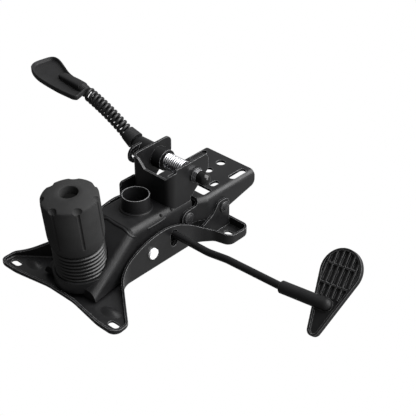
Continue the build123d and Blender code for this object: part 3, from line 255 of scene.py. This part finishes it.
# Painted highlight: a paler enamel for the bright ring at the top of the gas lift socket.
PAINTED_HIGHLIGHT_RIM = enamel("painted_highlight_rim", grey(0.05), grey(0.11), (0.25, 0.36))
SPRING_BLACK = enamel(
    "black_spring", grey(0.007, 0.0075), grey(0.012, 0.0125), (0.22, 0.34), peel=0.1,
)

NODE_MATERIALS = {
    "seat_plate": ENAMEL,
    "housing": HOOD_ENAMEL,
    "clamp_bracket": ENAMEL,
    "backrest_bracket": ENAMEL,
    "gas_lift_socket": HOOD_ENAMEL,
    "lever_hub": DARK_ENAMEL,
    "gas_lever_rod": DARK_ENAMEL,
    "tilt_pivot_pin": PIN_END,
    "tilt_pivot_rings": STEEL,
    "tilt_pivot_bushes": PLASTIC,
    "front_pivot_pin": RIVET,
    "rear_pivot_pins": RIVET,
    "clamp_axle": RIVET,
    "lock_spacer": RIVET,
    "clamp_washer": RIVET,
    "clamp_nut": ZINC,
    "dome_cap": GLOSSY_PLASTIC,
    "lever_collar": PLASTIC,
    "gas_lever_handle": HANDLE_PLASTIC,
    "gas_lever_pivot": STEEL,
    "knob_insert": STEEL,
    "tension_bolt": BLACKENED,
    "thrust_washer": STEEL,
}


def dress(obj, material):
    obj.data.materials.clear()
    obj.data.materials.append(material)


def dress_nodes():
    for name, material in NODE_MATERIALS.items():
        dress(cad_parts[name], material)


# Meshes. Profiles and radii are in millimetres, places are in metres

SAME_PLACE = 1e-7
TURN_STEPS = 40  # points in one turn of a coil


def mesh_object(name, data, material):
    mesh = bpy.data.meshes.new(name)
    data.to_mesh(mesh)
    data.free()
    for face in mesh.polygons:
        face.use_smooth = True
    obj = bpy.data.objects.new(name, mesh)
    bpy.context.collection.objects.link(obj)
    dress(obj, material)
    return obj


def add_ring(data, centre, side, other, radius, sides):
    ring = []
    for k in range(sides):
        angle = 2 * math.pi * k / sides
        out = side * (math.cos(angle) * radius) + other * (math.sin(angle) * radius)
        ring.append(data.verts.new(centre + out))
    return ring


def skin(data, rings):
    """Joins each ring of vertices to the next one."""
    for here, there in zip(rings, rings[1:]):
        count = len(here)
        for k in range(count):
            ahead = (k + 1) % count
            data.faces.new((here[k], here[ahead], there[ahead], there[k]))


def cap(data, rings):
    """Closes both ends of a row of rings."""
    return [data.faces.new(list(reversed(rings[0]))), data.faces.new(rings[-1])]


def wire(name, points, radius, material, sides):
    """A closed round tube through the points, with rounded-off ends."""
    end_share = 0.72
    data = bmesh.new()
    rings = []
    side = None
    last = len(points) - 1
    for i, point in enumerate(points):
        way = (points[min(i + 1, last)] - points[max(i - 1, 0)]).normalized()
        if side is None:
            side = way.orthogonal().normalized()
        side = (side - way * side.dot(way)).normalized()
        size = radius * MM * (end_share if i in (0, last) else 1.0)
        rings.append(add_ring(data, point, side, way.cross(side), size, sides))
    skin(data, rings)
    cap(data, rings)
    bmesh.ops.recalc_face_normals(data, faces=data.faces)
    return mesh_object(name, data, material)


def lathe(name, origin, axis, profile, material, sides=96):
    """Turns a closed profile of (radius, distance along the axis) round the axis."""
    axis = axis.normalized()
    side = axis.orthogonal().normalized()
    other = axis.cross(side)
    data = bmesh.new()
    rings = [
        add_ring(data, origin + axis * (along * MM), side, other, radius * MM, sides)
        for radius, along in profile
    ]
    skin(data, rings + rings[:1])
    bmesh.ops.remove_doubles(data, verts=data.verts, dist=SAME_PLACE)
    bmesh.ops.recalc_face_normals(data, faces=data.faces)
    return mesh_object(name, data, material)


def add_capsule(data, start, end, radius):
    """Adds a round bar with ball ends."""
    sides, steps = 28, 7
    way = (end - start).normalized()
    side = way.orthogonal().normalized()
    other = way.cross(side)
    rings = []
    for centre, first in ((start, -90), (end, 0)):
        for i in range(steps + 1):
            angle = math.radians(first + 90 * i / steps)
            size = max(math.cos(angle), 0.0) * radius * MM
            middle = centre + way * (math.sin(angle) * radius * MM)
            rings.append(add_ring(data, middle, side, other, size, sides))
    skin(data, rings)
    bmesh.ops.remove_doubles(data, verts=data.verts, dist=SAME_PLACE)


def carve(obj, cutter, material):
    """Takes the cutter's solids out of the piece."""
    modifier = obj.modifiers.new("carve", "BOOLEAN")
    modifier.operation = "DIFFERENCE"
    modifier.solver = "EXACT"
    modifier.object = cutter
    graph = bpy.context.evaluated_depsgraph_get()
    mesh = bpy.data.meshes.new_from_object(obj.evaluated_get(graph))
    obj.modifiers.clear()
    obj.data = mesh
    dress(obj, material)
    bpy.data.objects.remove(cutter)


def helix(origin, axis, side, low, high, turns, radius):
    """The points of a coil round the axis, from one distance along it to another."""
    other = axis.cross(side)
    steps = turns * TURN_STEPS
    points = []
    for i in range(steps + 1):
        angle = 2 * math.pi * turns * i / steps
        along = low + (high - low) * i / steps
        out = side * math.cos(angle) + other * math.sin(angle)
        points.append(origin + axis * (along * MM) + out * (radius * MM))
    return points


def curve_points(before, here, there, after, steps):
    """Points of a smooth curve from here to just before there, led by its neighbours."""
    points = []
    for k in range(steps):
        t = k / steps
        points.append(0.5 * (
            2 * here + (there - before) * t
            + (2 * before - 5 * here + 4 * there - after) * t ** 2
            + (3 * here - before - 3 * there + after) * t ** 3
        ))
    return points


# Bellows: soft ribs with rounded crests, seven from the hood to the knob

KNOB_LEAN = math.radians(6.0)
KNOB_FOOT = Vector((0, -78.6, 21.5)) * MM
KNOB_AXIS = Vector((0, -math.sin(KNOB_LEAN), math.cos(KNOB_LEAN)))

BELLOWS_RIBS = 7
BELLOWS_SPLIT = 4
BELLOWS_START, BELLOWS_END = 0.2, 31.4
BELLOWS_PITCH = (BELLOWS_END - BELLOWS_START) / BELLOWS_RIBS


def bellows_height(ribs):
    return BELLOWS_START + BELLOWS_PITCH * ribs


def bellows_part(name, first, last):
    """The ribs from one number to another, with a straight bore."""
    crest, root, bore = 27.5, 23.7, 22.0
    roundness = 0.9
    steps = 18
    profile = []
    for i in range(first * steps, last * steps + 1):
        share = i / steps
        phase = share - math.floor(share)
        swell = math.sin(math.pi * phase) ** roundness if phase else 0.0
        profile.append((root + (crest - root) * swell, bellows_height(share)))
    profile += [(bore, bellows_height(last)), (bore, bellows_height(first))]
    return lathe(name, KNOB_FOOT, KNOB_AXIS, profile, RUBBER, sides=128)


def shrink(obj, body):
    """Carries a soft piece on a body, with a mesh of its own."""
    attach(obj, body)
    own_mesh(obj)


def make_bellows():
    """Two lengths that meet between two ribs: the lower one is carried on the seat's body, the
    upper one on the knob's tension seat."""
    lower = bellows_part("bellows_boot", 0, BELLOWS_SPLIT)
    upper = bellows_part("bellows_top", BELLOWS_SPLIT, BELLOWS_RIBS)
    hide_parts("bellows")
    shrink(lower, "seat_body")
    shrink(upper, "tension_seat")


# Tension knob: a domed moulding, with thumb scoops at its rim and a groove below each

# From the eye over the dome, down the outside, and up the hollow to the moulded-in nut
KNOB_PROFILE = (
    (9.8, 72.0), (9.8, 95.2), (9.95, 95.6), (10.3, 95.8), (15.0, 95.3), (20.0, 94.3),
    (24.5, 92.9), (27.0, 91.9), (28.3, 91.2), (28.9, 90.7), (29.3, 90.0), (29.5, 89.0),
    (29.5, 68.0), (29.5, 49.0), (29.3, 45.0), (28.8, 41.5), (28.0, 38.0), (27.2, 35.0),
    (26.5, 33.0), (25.8, 31.9), (25.0, 31.5),
    (23.3, 31.5), (23.3, 57.1), (9.9, 57.1), (9.9, 68.3), (6.1, 68.3), (6.1, 72.0),
)
KNOB_SCOOPS = 7
# Distance from the knob's axis, lower end, upper end and radius: of a scoop, and of a groove
KNOB_CUTS = ((30.2, 92.8, 106.0, 5.7), (29.9, 43.5, 88.0, 1.6))


def knob_spot(angle, radius, along):
    out = X * math.cos(angle) + KNOB_AXIS.cross(X) * math.sin(angle)
    return KNOB_FOOT + KNOB_AXIS * (along * MM) + out * (radius * MM)


def make_knob():
    obj = lathe("knob_shell", KNOB_FOOT, KNOB_AXIS, KNOB_PROFILE, KNOB_PLASTIC, sides=140)
    for out, low, high, radius in KNOB_CUTS:
        data = bmesh.new()
        for i in range(KNOB_SCOOPS):
            angle = 2 * math.pi * (i + 0.5) / KNOB_SCOOPS
            add_capsule(data, knob_spot(angle, out, low), knob_spot(angle, out, high), radius)
        bmesh.ops.recalc_face_normals(data, faces=data.faces)
        carve(obj, mesh_object("knob_cutter", data, KNOB_PLASTIC), KNOB_PLASTIC)
    obj.data.set_sharp_from_angle(angle=math.radians(38))
    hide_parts("tension_knob")
    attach(obj, "knob_body")


# Tension spring inside the bellows

def make_tension_spring():
    """Two lengths of one coil, which meet half way up, carried on the same bodies as the bellows.
    """
    turns, radius, wire_radius, top = 5, 18.0, 2.6, 54.5
    clear = 1.25 * wire_radius + 0.1  # keeps the wire inside both ends
    low, high = clear, top - clear
    points = helix(KNOB_FOOT, KNOB_AXIS, X, low, high, turns, radius)
    half = len(points) // 2
    lower = wire("tension_coil", points[:half + 1], wire_radius, STEEL, sides=16)
    upper = wire("tension_coil_top", points[half:], wire_radius, STEEL, sides=16)
    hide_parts("tension_spring")
    shrink(lower, "seat_body")
    shrink(upper, "tension_seat")


# Lock spring on the clamp axle

AXLE = Vector((0, 61.0, 79.6)) * MM
HUB_INNER_END = 13.6


def make_lock_spring():
    turns, pitch, radius, wire_radius, gap = 10, 2.64, 8.3, 0.88, 0.3
    low = -HUB_INNER_END + wire_radius + gap
    points = helix(AXLE, X, Y, low, low + pitch * turns, turns, radius)
    obj = wire("lock_coil", points, wire_radius, ZINC, sides=14)
    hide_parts("lock_spring")
    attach(obj, "housing_body")


# Neck spring of the lock lever

LEVER_RISE = math.radians(23.0)
LEVER_WAY = Vector((-math.cos(LEVER_RISE), 0, math.sin(LEVER_RISE)))
LEVER_ROOT = Vector((-49.5, 61.0, 79.6)) * MM
COLLAR_START, COLLAR_LENGTH, NECK_GAP = 13.7, 13.8, 0.6  # along the lever, from its root
NECK_START = LEVER_ROOT + LEVER_WAY * ((COLLAR_START + COLLAR_LENGTH + NECK_GAP) * MM)
NECK_END = Vector((-136.0, 61.0, 116.5)) * MM
NECK_BOW = 2.0


def neck_line(t):
    """The middle of the neck, which bows up a little between its ends."""
    along = NECK_END - NECK_START
    up = Y.cross(along).normalized()
    return NECK_START + along * t + up * (4 * NECK_BOW * MM * t * (1 - t))


def make_neck_spring():
    turns, turn_steps, radius, wire_radius = 12, 36, 6.2, 1.9
    steps, near = turns * turn_steps, 1e-4
    points = []
    for i in range(steps + 1):
        t = i / steps
        way = (neck_line(min(t + near, 1)) - neck_line(max(t - near, 0))).normalized()
        angle = 2 * math.pi * turns * t
        out = Y * math.cos(angle) + way.cross(Y) * math.sin(angle)
        points.append(neck_line(t) + out * (radius * MM))
    obj = wire("neck_coil", points, wire_radius, SPRING_BLACK, sides=16)
    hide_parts("lever_spring")
    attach(obj, "lever_body")


# Lever paddle: a dished blade with a rim, a boxy stem, and a collar that takes the neck spring

# Where the neck ends, and the blade's own directions: along it and square to it
PADDLE_ROOT = Vector((-146.38, 61.0, 119.48)) * MM
PADDLE_OUT = Vector((-0.98297, 0.17332, -0.06105))
PADDLE_UP = Vector((-0.06012, 0.0106, 0.99813))
PADDLE_SIDE = PADDLE_UP.cross(PADDLE_OUT)
PADDLE_COLLAR_WAY = Vector((-0.96127, 0, 0.27561))

# Corners of the blade's outline, as distances along PADDLE_OUT and PADDLE_SIDE
BLADE_CORNERS = (
    (-6.0, -6.0), (12.0, -6.3), (30.0, -7.2), (45.0, -9.4), (60.0, -13.6), (75.0, -17.8),
    (86.0, -19.9), (94.0, -19.0), (97.6, -14.5), (98.0, -4.0), (96.8, 6.0), (92.5, 13.0),
    (84.0, 18.6), (67.0, 23.8), (48.0, 25.6), (17.0, 24.8), (-3.0, 22.6), (-13.0, 21.0),
    (-17.0, 17.4), (-14.0, 11.0), (-9.0, 2.0),
)
# Inset from the outline and height, from the underside over the rim to the dished floor
BLADE_EDGE = (
    (1.2, -3.0), (0.4, -2.8), (0.0, -2.2), (0.0, 2.3), (0.4, 2.85), (1.1, 3.0),
    (1.8, 2.85), (2.2, 2.3), (2.5, 0.0), (3.2, -0.6), (4.4, -0.8),
)
# Distance along PADDLE_OUT, half width, and heights of the stem's underside and top
STEM_SECTIONS = (
    (-1.0, 6.2, -3.0, 6.0), (2.0, 6.4, -3.0, 6.3), (14.0, 6.3, -2.8, 6.0), (30.0, 5.9, -2.4, 5.0),
    (43.0, 5.3, -2.0, 3.9), (44.4, 4.9, -1.8, 3.4), (44.8, 3.6, -1.4, 2.4),
)


def paddle_spot(along, across, height):
    way = PADDLE_OUT * along + PADDLE_SIDE * across + PADDLE_UP * height
    return PADDLE_ROOT + way * MM


def blade_outline():
    corners = [Vector(corner) for corner in BLADE_CORNERS]
    count = len(corners)
    line = []
    for i in range(count):
        line += curve_points(*(corners[(i + k) % count] for k in (-1, 0, 1, 2)), steps=6)
    return line


def add_blade(data):
    line = blade_outline()
    count = len(line)
    loops = []
    for inset, height in BLADE_EDGE:
        loop = []
        for i, spot in enumerate(line):
            way = (line[(i + 1) % count] - line[i - 1]).normalized()
            moved = spot + Vector((-way.y, way.x)) * inset
            loop.append(data.verts.new(paddle_spot(moved.x, moved.y, height)))
        loops.append(loop)
    skin(data, loops)
    bmesh.ops.triangulate(data, faces=cap(data, loops))


def add_stem(data):
    sides, boxiness = 40, 0.55
    rings = []
    for along, half_width, low, high in STEM_SECTIONS:
        middle, half_height = (low + high) / 2, (high - low) / 2
        ring = []
        for k in range(sides):
            angle = 2 * math.pi * k / sides
            c, s = math.cos(angle), math.sin(angle)
            across = half_width * math.copysign(abs(c) ** boxiness, c)
            height = middle + half_height * math.copysign(abs(s) ** boxiness, s)
            ring.append(data.verts.new(paddle_spot(along, across, height)))
        rings.append(ring)
    skin(data, rings)
    cap(data, rings)


def make_paddle():
    data = bmesh.new()
    add_blade(data)
    add_stem(data)
    bmesh.ops.recalc_face_normals(data, faces=data.faces)
    obj = mesh_object("paddle_blade", data, PLASTIC)
    obj.data.set_sharp_from_angle(angle=math.radians(50))
    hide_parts("lever_paddle")
    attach(obj, "lever_body")


def make_paddle_collar():
    """A barrel with four shallow grooves, whose domed end goes into the stem."""
    radius, groove_radius, foot = 6.5, 6.1, -8.0
    grooves, pitch = 4, 2.0
    dome_radius, dome_foot, dome_height, dome_steps = 6.4, 0.5, 5.0, 8
    profile = [(0.0, foot), (radius - 0.3, foot), (radius, foot + 0.4)]
    for i in range(grooves):
        start = foot + 1.0 + pitch * i
        profile += [
            (radius, start), (groove_radius, start + 0.3),
            (groove_radius, start + 0.7), (radius, start + 1.0),
        ]
    for i in range(dome_steps + 1):
        angle = math.pi / 2 * i / dome_steps
        profile.append((dome_radius * math.cos(angle), dome_foot + dome_height * math.sin(angle)))
    obj = lathe("paddle_collar", PADDLE_ROOT, PADDLE_COLLAR_WAY, profile, PLASTIC, sides=56)
    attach(obj, "lever_body")


# Rim of the gas lift socket: a thin ring in paler enamel, as a painted highlight

def make_socket_rim():
    top, outer, bore = 71.7, 15.3, 13.8
    sunk, proud = top - 0.1, top + 0.06
    profile = [
        (outer - 0.25, sunk), (outer - 0.4, proud), (bore + 0.4, proud), (bore + 0.15, sunk),
    ]
    obj = lathe("socket_rim", Vector((0, 0, 0)), Z, profile, PAINTED_HIGHLIGHT_RIM)
    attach(obj, "housing_body")


# Pressed beads, bosses and rivet steps, half sunk in what carries them

RIVET_STEP = (
    (0.0, -0.3), (4.6, -0.3), (4.6, 0.2), (4.3, 0.32), (3.1, 0.34), (2.9, 0.6), (2.4, 0.72),
    (0.0, 0.75),
)


def bead(name, body, points, radius):
    """A raised pressing line through points on a sheet."""
    spots = [Vector(point) * MM for point in points]
    ends = [spots[0]] + spots + [spots[-1]]
    path = []
    for i in range(len(spots) - 1):
        path += curve_points(*ends[i:i + 4], steps=8)
    path.append(spots[-1])
    obj = wire(name, path, radius, HOOD_ENAMEL, sides=20)
    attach(obj, body)


def mound(name, centre, length, width, height, turn):
    """A low oval boss pressed up from the floor of an ear. Length and width are half sizes."""
    steps, sides, edge_sink, foot_sink = 9, 48, 0.25, 0.6
    centre = Vector(centre)
    to_place = Matrix.Rotation(turn, 3, "Z")
    data = bmesh.new()
    loops = []
    for i in range(1, steps + 1):
        share = i / steps
        rise = height * (0.5 + 0.5 * math.cos(math.pi * share)) - edge_sink * share ** 8
        loop = []
        for k in range(sides):
            angle = 2 * math.pi * k / sides
            x, y = math.cos(angle) * length * share, math.sin(angle) * width * share
            loop.append(data.verts.new((centre + to_place @ Vector((x, y, rise))) * MM))
        loops.append(loop)
    top = data.verts.new((centre + Z * height) * MM)
    foot = data.verts.new((centre - Z * foot_sink) * MM)
    skin(data, loops)
    for k in range(sides):
        ahead = (k + 1) % sides
        data.faces.new((top, loops[0][k], loops[0][ahead]))
        data.faces.new((foot, loops[-1][ahead], loops[-1][k]))
    bmesh.ops.recalc_face_normals(data, faces=data.faces)
    obj = mesh_object(name, data, HOOD_ENAMEL)
    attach(obj, "seat_body")


def rivet_step(name, body, place, side):
    """The riveted end of a pivot pin: a small upset button on the middle of its head."""
    obj = lathe(name, Vector(place) * MM, X * side, RIVET_STEP, RIVET, sides=48)
    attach(obj, body)


def make_pressings():
    bead("hood_crease", "housing_body", (
        (-12.0, -35.2, 52.2), (-7.4, -33.5, 53.2), (1.4, -34.2, 52.8), (8.4, -34.4, 52.7),
        (16.1, -34.2, 52.7), (21.8, -35.0, 52.0), (26.2, -35.2, 49.9), (28.6, -32.4, 47.5),
        (28.4, -29.0, 46.4),
    ), radius=1.7)
    bead("hood_side_bead", "housing_body", (
        (28.9, -13.0, 47.4), (29.0, -6.0, 47.0), (29.0, 1.0, 47.0), (28.9, 8.4, 47.2),
        (28.8, 14.6, 48.0),
    ), radius=1.5)
    for side, word in ((1, "near"), (-1, "far")):
        mound(
            word + "_ear_boss", (59.0 * side, -95.0, 2.5),
            length=14.0, width=8.5, height=2.8, turn=math.radians(8 * side),
        )
    for side, word in ((1, "near"), (-1, "far")):
        rivet_step("front_rivet_" + word, "housing_body", (35.1 * side, 45.0, 34.0), side)
        rivet_step("rear_rivet_" + word, "backrest_body", (44.1 * side, 92.0, 30.0), side)


# Floor, lights and sky

FLOOR_HALF = 30.0
FLOOR_DROP = 0.0003  # below the seat face, so that the two don't share a plane
SKY_WAY = (0.75, 0.6, 0.25)  # towards the brightest part of the sky
SKY_DARK, SKY_BRIGHT = 0.08, 0.55


def floor_material():
    """The white sweep of a cut-out picture, which takes no shadow."""
    material, _, shader = new_material("white_sweep")
    shader.inputs["Base Color"].default_value = (0.0, 0.0, 0.0, 1.0)
    shader.inputs["Specular IOR Level"].default_value = 0.0
    shader.inputs["Emission Color"].default_value = (1.0, 1.0, 1.0, 1.0)
    shader.inputs["Emission Strength"].default_value = 1.0
    return material


def make_floor():
    data = bmesh.new()
    bmesh.ops.create_grid(data, x_segments=1, y_segments=1, size=FLOOR_HALF)
    floor = mesh_object("floor", data, floor_material())
    floor.location = (0, 0, -FLOOR_DROP)
    floor.visible_diffuse = False
    floor.visible_glossy = False


def area_light(name, place, aim, size, power):
    data = bpy.data.lights.new(name, "AREA")
    data.shape = "RECTANGLE"
    data.size, data.size_y = size
    data.energy = power
    lamp = bpy.data.objects.new(name, data)
    lamp.location = place
    way = Vector(aim) - Vector(place)
    lamp.rotation_euler = way.to_track_quat("-Z", "Y").to_euler()
    bpy.context.collection.objects.link(lamp)


def make_sky():
    world = bpy.data.worlds.new("studio")
    world.use_nodes = True
    tree = world.node_tree
    coords = tree.nodes.new("ShaderNodeTexCoord")
    dot = tree.nodes.new("ShaderNodeVectorMath")
    dot.operation = "DOT_PRODUCT"
    dot.inputs[1].default_value = SKY_WAY
    tree.links.new(coords.outputs["Generated"], dot.inputs[0])
    glow = spread(tree, dot.outputs["Value"], -1.0, 1.0, SKY_DARK, SKY_BRIGHT)
    background = tree.nodes["Background"]
    background.inputs["Color"].default_value = (1, 1, 1, 1)
    tree.links.new(glow, background.inputs["Strength"])
    bpy.context.scene.world = world


def make_stage():
    make_floor()
    area_light("key_rear", (0.9, 0.8, 1.6), (0, 0, 0.05), size=(2.2, 2.2), power=96.0)
    area_light("side_softbox", (1.5, 0.3, 0.5), (0, 0, 0.04), size=(0.9, 0.6), power=8.5)
    make_sky()
    bpy.context.scene.view_settings.view_transform = "Standard"


make_camera()
dress_nodes()
make_bellows()
make_knob()
make_tension_spring()
make_lock_spring()
make_neck_spring()
make_paddle()
make_paddle_collar()
make_socket_rim()
make_pressings()
make_stage()
